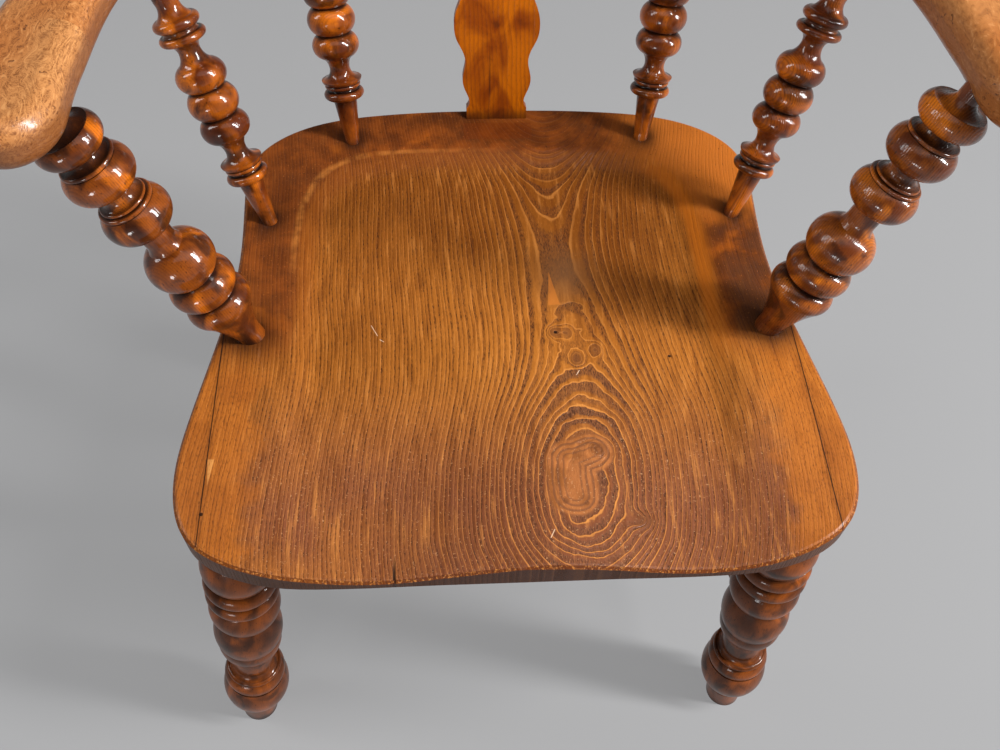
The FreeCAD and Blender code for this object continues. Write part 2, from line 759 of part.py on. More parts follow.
def uprights():
    """Arm posts and spindles: name, pattern, place on the seat, place under the bow, end radii."""
    post_base = Vector(seat_half_width(post_y) - post_inset, post_y, seat_height)
    mid_base = Vector(seat_half_width(mid_spindle_y) - mid_spindle_inset, mid_spindle_y, seat_height)
    rear_spindle_x = seat_half - rear_spindle_from_side
    rear_y = seat_back_edge(rear_spindle_x) - rear_spindle_inset
    rear_base = Vector(rear_spindle_x, rear_y, seat_height)
    post_top = Vector(post_top_x, post_top_y, arm_bottom)
    mid_top = Vector(mid_spindle_top_x, mid_spindle_top_y, arm_bottom)
    rear_top = Vector(rear_spindle_top_x, rear_spindle_top_y, arm_bottom)
    kinds = [
        ("arm_post", post_pattern, post_base, post_top, post_foot_radius, post_neck_radius),
        ("mid_spindle", spindle_pattern, mid_base, mid_top, spindle_foot_radius, spindle_top_radius),
        ("rear_spindle", spindle_pattern, rear_base, rear_top, spindle_foot_radius, spindle_top_radius),
    ]
    for name, pattern, base, top, foot_radius, top_radius in kinds:
        post = name == "arm_post"
        lead = Vector(0, post_lead if post else 0, 0)
        aside = Vector(post_foot_aside if post else 0, 0, 0)
        lag = Vector(0, post_foot_lag if post else 0, 0)
        left_base = mirrored(base) + aside + lag
        left_top = mirrored(top) - lead
        yield name + "_right", pattern(), base + aside, top + lead, foot_radius, top_radius
        yield name + "_left", pattern(), left_base, left_top, foot_radius, top_radius


def build():
    pieces = {}
    seat_holes, bow_holes = [], []

    for name, pattern, base, top, foot_radius, top_radius in uprights():
        piece, seat_hole, bow_hole = seat_to_bow(pattern, base, top, foot_radius, top_radius)
        pieces[name] = piece
        seat_holes.append(seat_hole)
        bow_holes.append(bow_hole)

    splat, seat_mortise, bow_mortise = make_splat()
    pieces["splat"] = splat
    seat_holes.append(seat_mortise)
    bow_holes.append(bow_mortise)

    legs = {}
    for end in ("front", "rear"):
        for side in ("left", "right"):
            name = end + "_leg_" + side
            legs[name], hole = make_leg(end + "_" + side)
            seat_holes.append(hole)

    crossings = {}
    for side in ("left", "right"):
        front = along(*leg_ends("front_" + side), side_stretcher_height)
        rear = along(*leg_ends("rear_" + side), side_stretcher_height)
        surface = leg_radius - shoulder_bite
        stretcher, holes = make_stretcher(side_stretcher_pattern(), front, rear, surface, surface)
        legs["front_leg_" + side] = legs["front_leg_" + side].cut(holes[0])
        legs["rear_leg_" + side] = legs["rear_leg_" + side].cut(holes[1])
        pieces["side_stretcher_" + side] = stretcher
        crossings[side] = [front + (rear - front) * share for share in cross_stretcher_share]
    for name, start, end in zip(("front", "rear"), crossings["left"], crossings["right"]):
        surface = stretcher_radius - cross_shoulder_bite
        stretcher, holes = make_stretcher(cross_stretcher_pattern(), start, end, surface, surface)
        pieces["cross_stretcher_" + name] = stretcher
        for side, hole in zip(("left", "right"), holes):
            key = "side_stretcher_" + side
            pieces[key] = pieces[key].cut(hole)
    pieces.update(legs)

    screws, arm_screw_holes, crest_screw_holes = make_screws()
    pieces["crest_screws"] = screws
    crest = make_crest()
    for hole in crest_screw_holes:
        crest = crest.cut(hole)
    pieces["crest"] = largest(crest)
    pieces["arm_left"] = make_arm(-1, bow_holes + arm_screw_holes)
    pieces["arm_right"] = make_arm(1, bow_holes + arm_screw_holes)

    board, left_strip, right_strip = seat_boards(seat_holes)
    pieces["seat_board"] = board
    pieces["seat_strip_left"] = left_strip
    pieces["seat_strip_right"] = right_strip
    return pieces


def main():
    pieces = build()
    box = FreeCAD.BoundBox()
    for shape in pieces.values():
        box.add(shape.optimalBoundingBox())
    centring = Vector(-(box.XMin + box.XMax) / 2, -(box.YMin + box.YMax) / 2, -box.ZMin)
    os.makedirs("parts", exist_ok=True)
    for name, shape in pieces.items():
        shape.translate(centring)
        shape.exportStep(os.path.join("parts", name + ".step"))
        print(name, "solids", len(shape.Solids), "valid", shape.isValid(), "volume", round(shape.Volume))
    print("size", [round(side, 1) for side in (box.XLength, box.YLength, box.ZLength)],
          "moved", [round(part, 2) for part in centring])


main()
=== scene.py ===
from functools import reduce
import math

import bpy
import numpy
from mathutils import Matrix, Vector

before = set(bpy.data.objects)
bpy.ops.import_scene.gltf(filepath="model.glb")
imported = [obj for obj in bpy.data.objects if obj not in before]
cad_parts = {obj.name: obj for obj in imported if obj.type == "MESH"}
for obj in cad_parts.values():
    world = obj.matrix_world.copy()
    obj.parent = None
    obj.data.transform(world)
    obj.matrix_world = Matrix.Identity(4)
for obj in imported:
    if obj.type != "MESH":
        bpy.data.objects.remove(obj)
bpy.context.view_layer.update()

# Places in metres, in the frame, read off the photograph through the fitted camera

seat_rim = 0.4                  # height of the flat rim of the seat
seam = 0.219                    # from the middle of the seat to the strips' glue lines
seat_middle = -0.0058
figure_middle = 0.0415          # the line that the seat's growth rings close about
ring_spacing = 0.00275
bow_middle_y = -0.02            # the bow of the arms runs round this place
bow_radius = 0.28

# Camera

camera_place = Vector((-0.05238, -0.53703, 1.012))
camera_down = math.radians(55.139)
camera_aside = math.radians(4.871)
camera_roll = math.radians(2.559)
picture_width = 1000
focal_pixels = 998.6
sensor_width = 36.0
farthest_seen = 20


def make_camera():
    forward = Vector((math.sin(camera_aside) * math.cos(camera_down),
                      math.cos(camera_aside) * math.cos(camera_down),
                      -math.sin(camera_down)))
    level = Vector((math.cos(camera_aside), -math.sin(camera_aside), 0))
    upright = level.cross(forward)
    right = level * math.cos(camera_roll) + upright * math.sin(camera_roll)
    up = upright * math.cos(camera_roll) - level * math.sin(camera_roll)
    data = bpy.data.cameras.new("camera")
    data.sensor_width = sensor_width
    data.lens = focal_pixels / picture_width * sensor_width
    data.clip_end = farthest_seen
    camera = bpy.data.objects.new("camera", data)
    turn = Matrix((right, up, -forward)).transposed().to_4x4()
    camera.matrix_world = Matrix.Translation(camera_place) @ turn
    bpy.context.collection.objects.link(camera)
    bpy.context.scene.camera = camera


# Painting with nodes

def tone(red, green, blue):
    """A colour as the shader takes it, from screen values up to 255."""
    return tuple(((part / 255 + 0.055) / 1.055) ** 2.4 for part in (red, green, blue))


class Field:
    """A number, colour or place that varies over a surface, with the arithmetic to combine it."""

    def __init__(self, paint, socket):
        self.paint = paint
        self.socket = socket

    def __add__(self, other):
        return self.paint.math("ADD", self, other)

    def __sub__(self, other):
        return self.paint.math("SUBTRACT", self, other)

    def __mul__(self, other):
        return self.paint.math("MULTIPLY", self, other)

    def __truediv__(self, other):
        return self.paint.math("DIVIDE", self, other)

    def __abs__(self):
        return self.paint.math("ABSOLUTE", self)

    def at_least(self, other):
        return self.paint.math("MAXIMUM", self, other)

    def at_most(self, other):
        return self.paint.math("MINIMUM", self, other)

    def fract(self):
        return self.paint.math("FRACT", self)

    def opposite(self):
        """1 where this is 0, and 0 where it is 1."""
        return self.paint.math("SUBTRACT", 1.0, self)

    def step(self, low, high):
        """0 below low, 1 above high and smooth between them, or the reverse where low is greater."""
        node = self.paint.node("ShaderNodeMapRange", interpolation_type="SMOOTHSTEP")
        self.paint.give(node.inputs["Value"], self)
        self.paint.give(node.inputs["From Min"], min(low, high))
        self.paint.give(node.inputs["From Max"], max(low, high))
        self.paint.give(node.inputs["To Min"], float(low > high))
        self.paint.give(node.inputs["To Max"], float(low <= high))
        return Field(self.paint, node.outputs["Result"])

    def near(self, place, reach):
        """1 at a place, falling off like a bell over the reach."""
        away = (self - place) / reach
        return self.paint.math("EXPONENT", away * away * -1.0)


def highest(fields):
    """The greatest of several numbers at each point."""
    return reduce(Field.at_least, fields)


class Paint:
    """The nodes of one material, each added by the call that needs it."""

    def __init__(self, name):
        self.material = bpy.data.materials.new(name)
        self.material.use_nodes = True
        self.tree = self.material.node_tree
        self.shader = self.tree.nodes["Principled BSDF"]
        self.place = Field(self, self.node("ShaderNodeTexCoord").outputs["Object"])

    def node(self, kind, **settings):
        node = self.tree.nodes.new(kind)
        for setting, value in settings.items():
            setattr(node, setting, value)
        return node

    def give(self, socket, value):
        if isinstance(value, Field):
            self.tree.links.new(value.socket, socket)
        elif socket.type == "RGBA":
            socket.default_value = (*value, 1)
        else:
            socket.default_value = value

    def math(self, operation, *values):
        node = self.node("ShaderNodeMath", operation=operation)
        for socket, value in zip(node.inputs, values):
            self.give(socket, value)
        return Field(self, node.outputs[0])

    def distance(self, one, other):
        """How far off a point lies, from its offsets in two directions at right angles."""
        return self.math("SQRT", one * one + other * other)

    def parts(self, vector):
        """The three coordinates of a place."""
        node = self.node("ShaderNodeSeparateXYZ")
        self.give(node.inputs[0], vector)
        return [Field(self, output) for output in node.outputs]

    def join(self, x, y, z=0.0):
        node = self.node("ShaderNodeCombineXYZ")
        for socket, value in zip(node.inputs, (x, y, z)):
            self.give(socket, value)
        return Field(self, node.outputs[0])

    def noise(self, vector, scale, detail, distortion=0.0):
        node = self.node("ShaderNodeTexNoise")
        self.give(node.inputs["Vector"], vector)
        self.give(node.inputs["Scale"], scale)
        self.give(node.inputs["Detail"], detail)
        self.give(node.inputs["Distortion"], distortion)
        return Field(self, node.outputs[0])

    def grain(self, spot, counts, detail, seed=0.0, distortion=0.0):
        """Noise with its own number of bumps per metre along each of the spot's coordinates."""
        x, y, z = (side * count for side, count in zip(spot, counts))
        return self.noise(self.join(x, y, z + seed), 1.0, detail, distortion)

    def mix(self, share, one, other):
        """One colour where share is 0 and the other where it is 1."""
        node = self.node("ShaderNodeMix", data_type="RGBA")
        for place, value in ((0, share), (6, one), (7, other)):
            self.give(node.inputs[place], value)
        return Field(self, node.outputs[2])

    def curve(self, value, low, high, points, top):
        """A smooth curve through points listed as (value, height) pairs."""
        node = self.node("ShaderNodeFloatCurve")
        line = node.mapping.curves[0]
        while len(line.points) < len(points):
            line.points.new(0.5, 0.5)
        for point, (at, height) in zip(line.points, points):
            point.location = ((at - low) / (high - low), height / top)
        node.mapping.update()
        self.give(node.inputs["Value"], (value - low) / (high - low))
        return Field(self, node.outputs[0]) * top

    def up(self):
        """How far the surface faces upwards, from -1 to 1."""
        node = self.node("ShaderNodeNewGeometry")
        return self.parts(Field(self, node.outputs["Normal"]))[2]

    def hollow(self, distance):
        """1 deep in a groove or corner and 0 on open ground, from ambient occlusion; where it darkens a
        colour it paints shade.
        """
        node = self.node("ShaderNodeAmbientOcclusion", samples=6)
        self.give(node.inputs["Distance"], distance)
        return Field(self, node.outputs["AO"]).opposite()

    def finish(self, colour, roughness, relief, depth, coat, coat_roughness=0.12, shine=0.2):
        """Links the colour, the roughness and a relief in which 1 stands this many metres high."""
        bump = self.node("ShaderNodeBump")
        self.give(bump.inputs["Height"], relief)
        bump.inputs["Distance"].default_value = depth
        normal = Field(self, bump.outputs[0])
        self.give(self.shader.inputs["Base Color"], colour)
        self.give(self.shader.inputs["Roughness"], roughness)
        self.give(self.shader.inputs["Normal"], normal)
        self.give(self.shader.inputs["Coat Normal"], normal)
        self.shader.inputs["Specular IOR Level"].default_value = shine
        self.shader.inputs["Coat Weight"].default_value = coat
        self.shader.inputs["Coat Roughness"].default_value = coat_roughness
        return self.material


def give_material(name, material):
    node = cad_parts[name]
    node.data.materials.clear()
    node.data.materials.append(material)


# Turned wood

pith_away = 0.055               # each blank was cut this far from the heart of its tree
ring_wander = 0.011
groove_reach = 0.016            # grime and painted shade darken hollows up to this wide


def axis_of(name):
    """The middle of a turned node and its unit axis, upwards or to the back, from its vertices."""
    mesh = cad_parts[name].data
    points = numpy.empty(len(mesh.vertices) * 3)
    mesh.vertices.foreach_get("co", points)
    points = points.reshape(-1, 3)
    middle = (points.min(axis=0) + points.max(axis=0)) / 2
    away = points - points.mean(axis=0)
    axis = Vector(numpy.linalg.svd(away, full_matrices=False)[2][0])
    main = max(range(3), key=lambda side: abs(axis[side]))
    return Vector(middle), axis if axis[main] > 0 else -axis


def along_axis(paint, name, quarter):
    """Places beside and along a turned node's axis, its rings turned by this many degrees."""
    middle, axis = axis_of(name)
    turn = axis.to_track_quat("Z", "Y").to_matrix() @ Matrix.Rotation(math.radians(quarter), 3, "Z")
    node = paint.node("ShaderNodeMapping", vector_type="TEXTURE")
    paint.give(node.inputs["Vector"], paint.place)
    node.inputs["Location"].default_value = middle
    node.inputs["Rotation"].default_value = turn.to_euler()
    return paint.parts(Field(paint, node.outputs[0]))


def turned_material(name, seed, quarter, spacing, contrast, tones, gloss, ridges):
    """Varnished turned wood: rings that curve over the beads, grooves darkened by grime and painted
    shade, and warm patches.
    """
    pale, middle_tone, deep, black = tones
    paint = Paint(name + "_wood")
    spot = along_axis(paint, name, quarter)
    across, beside, along = spot
    wander = paint.grain(spot, (16, 16, 4), 2, seed * 16)
    bent = across + (wander - 0.5) * ring_wander
    ring = (paint.distance(bent + pith_away, beside) / spacing).fract()
    late = ring.step(0.35, 0.8) * ring.step(1.0, 0.86)
    fibre = paint.grain(spot, (1400, 1400, 70), 2, seed)
    broad = paint.grain((bent, beside, along), (70, 40, 34), 3, seed * 3)
    patch = paint.grain(spot, (38, 38, 21), 2, seed * 7, 0.8)
    gloom = paint.grain(spot, (42, 42, 38), 3, seed * 9, 0.8)
    shade = paint.grain(spot, (60, 60, 60), 3, seed * 5)
    flecks = paint.grain(spot, (600, 600, 300), 1, seed)
    # Grime and painted shade: occlusion darkens the grooves and necks towards black
    grime_and_shade = paint.hollow(groove_reach).step(0.2, 0.56) * (shade * 0.5 + 0.75)
    colour = paint.mix(broad.step(0.38, 0.6), deep, middle_tone)
    colour = paint.mix(patch.step(0.48, 0.68) * 0.85, colour, pale)
    colour = paint.mix(late * contrast, colour, deep)
    colour = paint.mix(gloom.step(0.5, 0.66) * 0.72, colour, black)
    colour = paint.mix(fibre.step(0.56, 0.74) * 0.4, colour, black)
    colour = paint.mix(flecks.step(0.66, 0.74) * 0.6, colour, black)
    colour = paint.mix(grime_and_shade.at_most(0.92), colour, black)
    roughness = shade * 0.16 + 0.3 + grime_and_shade * 0.2
    relief = late * -0.7 + fibre * 0.2
    return paint.finish(colour, roughness, relief, ridges, gloss, 0.05, 0.1)


post_tones = (tone(208, 108, 16), tone(134, 66, 14), tone(78, 33, 8), tone(28, 11, 5))
amber_tones = (tone(212, 116, 22), tone(150, 78, 18), tone(98, 44, 12), tone(38, 15, 6))
spindle_tones = (tone(206, 108, 18), tone(142, 69, 13), tone(88, 36, 8), tone(30, 12, 5))
leg_tones = (tone(144, 72, 18), tone(108, 54, 18), tone(80, 39, 14), tone(36, 18, 9))

turned_nodes = (
    # node, seed, quarter, ring spacing and contrast, tones, gloss, height of the rings' ridges
    ("arm_post_left", 1.3, 150, 0.0016, 0.3, post_tones, 0.9, 0.00002),
    ("arm_post_right", 2.6, 20, 0.0016, 0.45, amber_tones, 0.9, 0.00012),
    ("mid_spindle_left", 3.1, 200, 0.0014, 0.25, spindle_tones, 0.85, 0.00002),
    ("mid_spindle_right", 4.7, 60, 0.0014, 0.45, spindle_tones, 0.85, 0.00009),
    ("rear_spindle_left", 5.2, 100, 0.0014, 0.25, spindle_tones, 0.85, 0.00002),
    ("rear_spindle_right", 6.4, 300, 0.0014, 0.35, spindle_tones, 0.85, 0.00004),
    ("front_leg_left", 7.7, 40, 0.0018, 0.12, leg_tones, 0.35, 0.00003),
    ("front_leg_right", 8.2, 130, 0.0018, 0.12, leg_tones, 0.35, 0.00003),
    ("rear_leg_left", 9.9, 230, 0.0024, 0.2, leg_tones, 0.35, 0.00004),
    ("rear_leg_right", 10.4, 320, 0.0024, 0.2, leg_tones, 0.35, 0.00004),
    ("side_stretcher_left", 11.3, 10, 0.0022, 0.2, leg_tones, 0.35, 0.00004),
    ("side_stretcher_right", 12.9, 80, 0.0022, 0.2, leg_tones, 0.35, 0.00004),
    ("cross_stretcher_front", 13.6, 170, 0.0022, 0.2, leg_tones, 0.35, 0.00004),
    ("cross_stretcher_rear", 14.2, 250, 0.0022, 0.2, leg_tones, 0.35, 0.00004),
)


def foot_place(name, height):
    """Where the axis of a turned node passes a height."""
    middle, axis = axis_of(name)
    return middle + axis * ((height - middle.z) / axis.z)


# Seat

# The rings' heart from front to back, as (y, depth under the seat): shallow where the figure closes
heart_depth = (
    (-0.280, 0.073), (-0.262, 0.064), (-0.225, 0.052), (-0.190, 0.051), (-0.165, 0.054), (-0.100, 0.069),
    (-0.030, 0.0745), (0.016, 0.0758), (0.060, 0.074), (0.100, 0.070), (0.140, 0.055), (0.200, 0.030),
)

# The same heart seen from above, as (y, x)
heart_line = (
    (-0.280, 0.036), (-0.200, 0.041), (-0.100, 0.045), (0.016, 0.036), (0.100, 0.035), (0.200, 0.038),
)
heart_front = -0.29             # the y at which both curves begin
heart_back = 0.21               # and end
heart_limit = 0.1               # no depth or x in the two lists is greater

# Knots that the rings run round: place, reach across and along, and how far they lift the rings
knots = (
    (0.0295, -0.0665, 0.0060, 0.0060, 0.0080),
    (0.0385, -0.0670, 0.0045, 0.0060, 0.0060),
    (0.0595, -0.0840, 0.0050, 0.0060, 0.0060),
    (0.0440, -0.0920, 0.0060, 0.0080, -0.0060),
    (0.0523, -0.1740, 0.0070, 0.0070, 0.0110),
    (0.0250, -0.2165, 0.0030, 0.0030, 0.0040),
    (0.0393, -0.2178, 0.0025, 0.0025, 0.0030),
    (0.0780, -0.2300, 0.0090, 0.0070, 0.0060),
)

# Odd patches of the figure: the grey saddle, the spike before it, the boot at the front, the inlay
saddle_place = (0.042, -0.008)
saddle_reach = (0.020, 0.028)
spike = ((0.0289, -0.004), (0.0308, -0.040), 0.0050)        # tip, foot and half width
inlay = ((-0.2225, -0.2000), (-0.2220, -0.1770), 0.0024)
boot_calf = ((0.0315, -0.1835), (0.0315, -0.2105))
boot_toe = ((0.0335, -0.1825), (0.0470, -0.1765))
calf_half_width = 0.0080
toe_half_width = 0.0062
boot_border = (0.0115, 0.0085)  # from outside to inside, as distances from the boot's outline
contour_spacing = 0.0042

# Small holes of the top: place and radius
pin_holes = (
    (-0.2240, -0.2200, 0.0012),
    (0.1158, -0.0922, 0.0011),
    (0.0295, -0.0665, 0.0012),
)

# The few pale scratches of the top, from place to place
scratches = (
    ((0.0425, -0.1075), (0.0450, -0.1035)),
    ((-0.1140, -0.0560), (-0.1090, -0.0660)),
    ((-0.1070, -0.0700), (-0.1040, -0.0720)),
    ((0.0120, -0.2450), (0.0150, -0.2390)),
)
crack_x = -0.0945               # the short crack in the front edge
crack_wander = 0.004
patch_place = (-0.0055, 0.1555)     # a square of old finish in front of the splat

# Uprights with grime round their feet, and how far it reaches
dirty_feet = (
    ("arm_post_left", 0.016),
    ("arm_post_right", 0.016),
    ("mid_spindle_left", 0.013),
    ("mid_spindle_right", 0.013),
    ("rear_spindle_left", 0.013),
    ("rear_spindle_right", 0.013),
)

elm_gold = tone(172, 104, 38)
elm_brown = tone(124, 68, 18)
elm_shade = tone(116, 60, 12)
elm_line = tone(94, 46, 12)
elm_heart = tone(104, 64, 42)
elm_pale = tone(212, 138, 66)
elm_red = tone(108, 60, 42)
# The dark of grime, and also of the painted shade in the arms' and the splat's hollows
elm_grime_and_shade = tone(34, 16, 8)
elm_hole = tone(24, 12, 8)
elm_scratch = tone(222, 190, 160)
elm_speck = tone(214, 164, 116)

deck_plain = tone(90, 41, 14)
deck_warm = tone(134, 66, 20)
deck_stained = tone(76, 38, 20)
deck_rubbed = tone(168, 86, 20)
deck_corner = tone(190, 106, 36)
deck_left = tone(86, 42, 18)
deck_gloomy = tone(66, 38, 28)
deck_nick = tone(186, 108, 50)
deck_brink = tone(206, 134, 60)

margin_gold = tone(178, 98, 30)
margin_stained = tone(122, 62, 20)
slope_brown = tone(122, 60, 12)
slope_amber = tone(200, 108, 24)
patch_red = tone(112, 46, 8)
side_brown = tone(74, 38, 16)
side_dark = tone(54, 30, 20)

saddle_grey = tone(136, 92, 56)
spike_amber = tone(190, 112, 44)
heart_wood_dark = tone(136, 80, 38)
heart_wood_pale = tone(168, 102, 54)
knot_brown = tone(100, 58, 32)
inlay_pale = tone(214, 156, 88)


class SeatElm(Paint):
    """Waxed elm with a bold figure, a darker deck, worn edges flecked with painted glints, and grime
    round the feet.
    """

    def __init__(self, name, middle, seed, figured):
        super().__init__(name)
        self.spot = self.parts(self.place)
        self.x, self.y, self.z = self.spot
        self.seed = seed
        self.figured = figured
        self.count_rings(middle)
        self.pores = self.grain(self.spot, (1700, 330, 1700), 2)
        self.dashes = self.pores.step(0.5, 0.64)
        self.fibre = self.grain(self.spot, (900, 30, 900), 2)
        self.cloud = self.grain(self.spot, (9, 5, 9), 3, seed)
        self.mottle = self.noise(self.place, 55, 4)
        from_middle = abs(self.x - seat_middle) + (self.mottle - 0.5) * 0.05
        self.worn = from_middle.step(0.200, 0.178)
        self.stain = self.grain(self.spot, (26, 26, 26), 6, seed)
        # How far the surface lies under the rim
        self.sunk = self.z * -1.0 + seat_rim
        self.on_deck = self.sunk.step(0.0036, 0.0004) * self.y.step(-0.11, -0.06)
        self.facing = self.up()
        self.arris = self.facing.step(0.30, 0.5) * self.facing.step(0.86, 0.8)

    def count_rings(self, middle):
        """Counts the growth rings from their heart and finds the dark band in each."""
        x, y, seed = self.x, self.y, self.seed
        sway = self.grain(self.spot, (7, 5, 0), 2, seed)
        jitter = self.grain(self.spot, (90, 24, 0), 3, seed + 2)
        moved = x + (sway - 0.5) * 0.010 + (jitter - 0.5) * 0.0022
        depth = self.curve(y, heart_front, heart_back, heart_depth, heart_limit)
        line = self.curve(y, heart_front, heart_back, heart_line, heart_limit) + (middle - figure_middle)
        away = moved - line
        ripple = self.grain(self.spot, (45, 45, 0), 3, seed + 5)
        ripple_height = y.step(0.01, -0.06) * 0.0045 + 0.0015
        radius = self.distance(away, depth) + (ripple - 0.5) * (away.near(0.0, 0.03) * ripple_height)
        if self.figured:
            for knot_x, knot_y, wide, long, lift in knots:
                radius = radius - x.near(knot_x, wide) * y.near(knot_y, long) * lift
        count = radius / ring_spacing
        count = count + self.noise(self.join(count * 0.45, seed), 1.0, 1) * 1.6
        self.ring = count.fract()
        self.heart = away.near(0.0, 0.06) * (y.step(-0.06, -0.12) * 0.65 + 0.35)
        band_start = self.heart * -0.25 + 0.5
        band = (self.ring - band_start).step(0.0, 0.3) * self.ring.step(1.0, 0.94)
        strength = self.grain((count - self.ring, y, 0.0), (3.7, 16, 0), 2, seed)
        self.strength = strength.step(0.32, 0.66)
        self.dark_band = band * (self.strength * 0.75 + 0.4)

    def ground(self):
        """The wood between the rings: golden, with painted light in front and painted shade behind,
        shaded on the left, rosy to the front.
        """
        x, y = self.x, self.y
        streaks = self.grain(self.spot, (240, 24, 240), 3, self.seed)
        left_shade = x.step(0.0, -0.13) * y.step(-0.2, -0.04)
        rosy = y.step(-0.09, -0.22) * self.cloud.step(0.22, 0.48) * (self.worn * 0.6 + 0.4)
        colour = self.mix(self.cloud.step(0.3, 0.7), elm_brown, elm_gold)
        # Painted light and shade: golden in front, falling off to darker behind
        colour = self.mix(y.step(0.0, -0.10) * 0.6, colour, elm_gold)
        colour = self.mix(y.step(-0.06, 0.12) * 0.65, colour, elm_shade)
        colour = self.mix(left_shade * 0.4, colour, elm_shade)
        colour = self.mix(rosy * 0.85, colour, elm_red)
        colour = self.mix(streaks.step(0.5, 0.7) * 0.5, colour, elm_line)
        return self.mix(streaks.step(0.44, 0.3) * 0.3, colour, elm_pale)

    def rings(self, colour):
        """Runs each ring from a pale line through brown into a dark porous band."""
        pale_line = self.ring.step(0.16, 0.05) + self.ring.step(0.97, 1.0)
        pale_share = self.heart * 0.4 + (self.strength * -0.32 + 0.38)
        dark_share = self.dashes * 0.3 + self.heart * 0.35 + 0.4
        deep_tone = self.mix(self.heart, elm_line, elm_heart)
        colour = self.mix(self.dark_band * dark_share, colour, deep_tone)
        colour = self.mix(pale_line * pale_share, colour, elm_pale)
        colour = self.mix(self.dashes * (self.dark_band * 0.45 + 0.14), colour, elm_grime_and_shade)
        colour = self.mix(self.pores.step(0.38, 0.26) * 0.3, colour, elm_pale)
        return self.mix(self.fibre.step(0.55, 0.75) * 0.28, colour, elm_line)

    def from_line(self, start, end):
        """The distance from a straight line between two places."""
        start, end = Vector(start), Vector(end)
        run = end - start
        from_x, from_y = self.x - start.x, self.y - start.y
        along = (from_x * run.x + from_y * run.y) / run.length_squared
        along = along.at_least(0.0).at_most(1.0)
        return self.distance(from_x - along * run.x, from_y - along * run.y)

    def wedge(self, tip, foot, half_width):
        """1 inside a slim wedge that widens from its tip to its foot."""
        tip, foot = Vector(tip), Vector(foot)
        run = (foot - tip).normalized()
        from_x, from_y = self.x - tip.x, self.y - tip.y
        along = (from_x * run.x + from_y * run.y) / (foot - tip).length
        beside = abs(from_x * -run.y + from_y * run.x)
        inside = (along * half_width - beside).step(-0.0002, 0.0004)
        return inside * along.step(0.0, 0.04) * along.step(1.0, 0.95)

    def boot(self, colour):
        """The pale heart of the figure, shaped like a boot with contours along its edge."""
        calf = self.from_line(*boot_calf) - calf_half_width
        toe = self.from_line(*boot_toe) - toe_half_width
        outside = calf.at_most(toe) + (self.mottle - 0.5) * 0.005
        inside = outside.step(*boot_border)
        wood = self.mix(self.mottle.step(0.4, 0.62), heart_wood_dark, heart_wood_pale)
        colour = self.mix(inside * 0.8, colour, wood)
        contour = (outside / contour_spacing + 0.25).fract()
        contour = contour.step(0.35, 0.75) * contour.step(1.0, 0.9) * inside
        return self.mix(contour * outside.step(-0.004, -0.001) * 0.7, colour, elm_heart)

    def figure(self, colour):
        """The odd patches of the board: the grey saddle, its spike, the boot, knots and inlay."""
        saddle = self.x.near(saddle_place[0], saddle_reach[0])
        saddle = saddle * self.y.near(saddle_place[1], saddle_reach[1]) * self.mottle.step(0.25, 0.5)
        colour = self.mix(saddle * 0.65, colour, saddle_grey)
        colour = self.mix(self.wedge(*spike) * 0.75, colour, spike_amber)
        colour = self.boot(colour)
        for knot_x, knot_y, wide, long, _ in knots:
            knot = self.x.near(knot_x, wide) * self.y.near(knot_y, long)
            colour = self.mix(knot.step(0.2, 0.9) * 0.65, colour, knot_brown)
        return self.mix(self.wedge(*inlay) * 0.85, colour, inlay_pale)

    def deck(self, colour):
        """The flat deck behind and beside the dish, darker and with most of the figure hidden."""
        x, y = self.x, self.y
        corner = x.step(0.08, 0.14) * y.step(0.02, 0.07)
        gloomy = x.step(0.160, 0.180) * y.step(0.06, 0.03) * self.stain.step(0.34, 0.5)
        ground = self.mix(self.mottle.step(0.35, 0.7), deck_plain, deck_warm)
        ground = self.mix(self.stain.step(0.5, 0.66) * 0.7, ground, deck_stained)
        ground = self.mix(self.stain.step(0.42, 0.3) * 0.7, ground, deck_rubbed)
        ground = self.mix(corner * 0.8, ground, deck_corner)
        ground = self.mix(x.step(-0.12, -0.17) * 0.3, ground, deck_left)
        ground = self.mix(gloomy * 0.85, ground, deck_gloomy)
        colour = self.mix(self.on_deck * 0.82, colour, ground)
        nicks = self.grain(self.spot, (700, 420, 700), 2).step(0.64, 0.72) * self.stain
        colour = self.mix(self.on_deck * nicks * 0.8, colour, deck_nick)
        pits = self.grain(self.spot, (420, 300, 420), 2, self.seed).step(0.66, 0.74)
        return self.mix(self.on_deck * pits * 0.55, colour, elm_grime_and_shade)

    def edges_of_the_dish(self, colour):
        """The brink between deck and dish, pale from wear and a painted highlight, the slope, and the
        golden margins in front.
        """
        x, y = self.x, self.y
        # Wear and a painted highlight: a pale line along the upper edge of the dish's slope
        brink = self.sunk.step(0.0018, 0.0010) * self.sunk.step(0.0002, 0.0007)
        brink = brink * x.step(0.02, -0.12) * y.step(-0.04, 0.05) * self.mottle.step(0.35, 0.65)
        margin = self.worn.opposite() * y.step(-0.07, -0.12)
        right = x.step(0.10, 0.15)
        slope = self.sunk.step(0.0085, 0.005) * self.on_deck.opposite()
        slope = slope * y.step(-0.12, -0.02) * (right * 0.3 + 0.4)
        colour = self.mix(brink * 0.4, colour, deck_brink)
        colour = self.mix(margin * 0.4, colour, margin_gold)
        colour = self.mix(margin * self.stain.step(0.46, 0.6) * 0.35, colour, margin_stained)
        colour = self.mix(margin * self.pores.step(0.56, 0.66) * 0.5, colour, elm_line)
        return self.mix(slope, colour, self.mix(right, slope_brown, slope_amber))

    def patch_and_specks(self, colour):
        """The square patch in front of the splat, and pale specks in the worn front."""
        across = abs(self.x - patch_place[0]).step(0.0315, 0.0295)
        patch = across * abs(self.y - patch_place[1]).step(0.0115, 0.0095)
        colour = self.mix(patch * 0.4, colour, patch_red)
        specks = self.noise(self.place, 680, 2).step(0.63, 0.7) * self.y.step(-0.06, -0.2) * self.worn
        return self.mix(specks * (self.dark_band * 0.3 + 0.16), colour, elm_speck)

